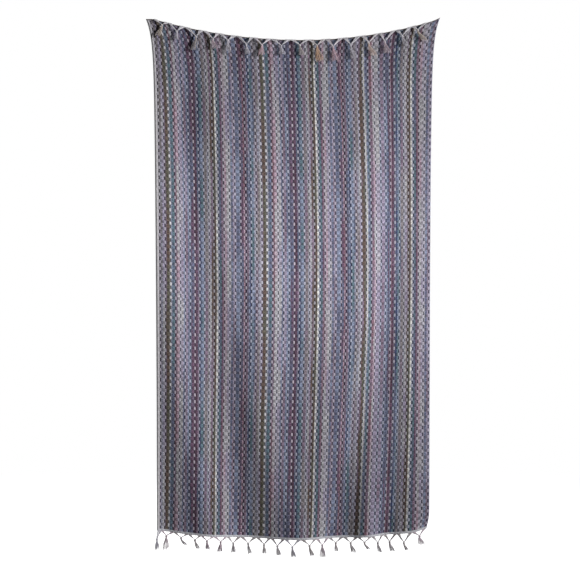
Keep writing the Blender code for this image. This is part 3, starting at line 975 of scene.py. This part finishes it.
    def make(self, name, material):
        shares = self.shares()
        bounds = [(a + b) / 2 for a, b in zip(shares, shares[1:])]
        first = max(shares[0] - (bounds[0] - shares[0]), 0.006)
        last = min(shares[-1] + (shares[-1] - bounds[-1]), 0.994)
        bounds = [first] + bounds + [last]
        for share, low, high, tassel in zip(shares, bounds, bounds[1:], self.tassels):
            self.tie(share, low, high, tassel)
        return self.mesh.build(name, material)


class TOWEL_OT_fringes(bpy.types.Operator):
    """Tie the fringes of both ends"""
    bl_idname = "towel.fringes"
    bl_label = "Knotted fringes"

    def execute(self, context):
        scene = context.scene
        material = fringe_yarn()
        ends = (("towel_fringe_hem", "fringe_hem", HEM_TASSELS, HEM_END, 11, False),
                ("towel_fringe_top", "fringe_top", TOP_TASSELS, TOP_END, 23, True))
        for name, node, tassels, looks, seed, over_edge in ends:
            maker = FringeMaker(scene, tassels, looks, seed, over_edge)
            piece = maker.make(name, material)
            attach(piece, "root")
            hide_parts(node)
        return {"FINISHED"}


# ---------------------------------------------------------------- stage
def plain_light(name, strength):
    """A material that glows evenly."""
    graph = Graph(name)
    graph.shader.inputs["Base Color"].default_value = (0.0, 0.0, 0.0, 1.0)
    graph.shader.inputs["Specular IOR Level"].default_value = 0.0
    graph.shader.inputs["Emission Color"].default_value = (1.0, 1.0, 1.0, 1.0)
    graph.shader.inputs["Emission Strength"].default_value = strength
    return graph


def add_softbox(name, place, target, size, power):
    """A soft rectangular light, aimed at a point."""
    bpy.ops.object.light_add(type="AREA", location=place)
    lamp = bpy.context.object
    lamp.name = name
    lamp.data.shape = "RECTANGLE"
    lamp.data.size, lamp.data.size_y = size
    lamp.data.energy = power
    lamp.visible_camera = False
    aim = np.array(target) - np.array(place)
    lamp.rotation_euler = (math.atan2(math.hypot(aim[0], aim[1]), -aim[2]), 0.0,
                           math.atan2(aim[1], aim[0]) - math.pi / 2)


class TOWEL_OT_stage(bpy.types.Operator):
    """Set the floor, the backdrop, the lights and the camera"""
    bl_idname = "towel.stage"
    bl_label = "Stage"

    def execute(self, context):
        scene = context.scene
        stage = scene.towel_stage
        scene.view_settings.view_transform = "Standard"
        low = CAD_BOX[0][2] - stage.floor_drop

        bpy.ops.object.select_all(action="DESELECT")
        bpy.ops.mesh.primitive_circle_add(vertices=96, radius=FLOOR_RADIUS, fill_type="NGON",
                                          location=(0.0, 0.0, low))
        floor = context.object
        floor.name = "stage_floor"
        graph = plain_light("stage_floor", 1.0)
        place = graph.node("ShaderNodeTexCoord").outputs["Object"]
        reach = graph.node("ShaderNodeVectorMath", operation="LENGTH")
        graph.feed(reach.inputs[0], place)
        fade = graph.step(reach.outputs["Value"], *FLOOR_FADE)
        tone = graph.math("SUBTRACT", FLOOR_TONE, graph.math("MULTIPLY", fade, FLOOR_TONE))
        graph.feed(graph.shader.inputs["Base Color"], graph.vector(tone, tone, tone))
        graph.feed(graph.shader.inputs["Emission Strength"],
                   graph.step(fade, 0.0, 1.0, FLOOR_GLOW, 1.0))
        floor.data.materials.append(graph.material)

        bpy.ops.mesh.primitive_uv_sphere_add(segments=64, ring_count=32,
                                             radius=BACKDROP_RADIUS)
        backdrop = context.object
        backdrop.name = "stage_backdrop"
        backdrop.data.materials.append(plain_light("stage_backdrop", 1.0).material)
        for piece in (floor, backdrop):
            piece.visible_diffuse = False
            piece.visible_glossy = False
            piece.visible_shadow = False

        world = bpy.data.worlds.new("studio")
        world.use_nodes = True
        backing = world.node_tree.nodes["Background"]
        backing.inputs["Color"].default_value = (1.0, 1.0, 1.0, 1.0)
        backing.inputs["Strength"].default_value = stage.room_light
        scene.world = world

        add_softbox("strip", STRIP_PLACE, STRIP_AIM, STRIP_SIZE, stage.strip_power)
        bpy.ops.object.light_add(type="SUN", rotation=[math.radians(turn) for turn in KEY_TURN])
        key = context.object
        key.name = "key"
        key.data.energy = stage.key_strength
        key.data.angle = math.radians(KEY_ANGLE)
        add_softbox("back", BACK_PLACE, BACK_AIM, BACK_SIZE, stage.back_power)

        bpy.ops.object.camera_add(location=CAMERA_PLACE, rotation=(math.pi / 2, 0.0, 0.0))
        camera = context.object
        camera.name = "view_camera"
        camera.data.lens = CAMERA_LENS
        camera.data.sensor_width = SENSOR_WIDTH
        scene.camera = camera
        return {"FINISHED"}


class TOWEL_PT_panel(bpy.types.Panel):
    """Towel tools in the 3D view's sidebar"""
    bl_idname = "TOWEL_PT_panel"
    bl_label = "Hammam towel"
    bl_space_type = "VIEW_3D"
    bl_region_type = "UI"
    bl_category = "Towel"

    def draw(self, context):
        layout = self.layout
        for operator in OPERATORS:
            layout.operator(operator.bl_idname)
        for group in GROUPS:
            box = layout.box()
            for prop in group[1].__annotations__:
                box.prop(getattr(context.scene, group[0]), prop)


GROUPS = (("towel_yarns", TowelYarns), ("towel_cloth", TowelCloth),
          ("towel_fringe", TowelFringe), ("towel_stage", TowelStage))
OPERATORS = (TOWEL_OT_cloth, TOWEL_OT_fringes, TOWEL_OT_stage)


def register():
    for name, group in GROUPS:
        bpy.utils.register_class(group)
        setattr(bpy.types.Scene, name, bpy.props.PointerProperty(type=group))
    for made in (*OPERATORS, TOWEL_PT_panel):
        bpy.utils.register_class(made)


def unregister():
    for made in (TOWEL_PT_panel, *reversed(OPERATORS)):
        bpy.utils.unregister_class(made)
    for name, group in reversed(GROUPS):
        delattr(bpy.types.Scene, name)
        bpy.utils.unregister_class(group)


def main():
    register()
    bpy.ops.towel.cloth()
    bpy.ops.towel.fringes()
    bpy.ops.towel.stage()


if __name__ == "__main__":
    main()
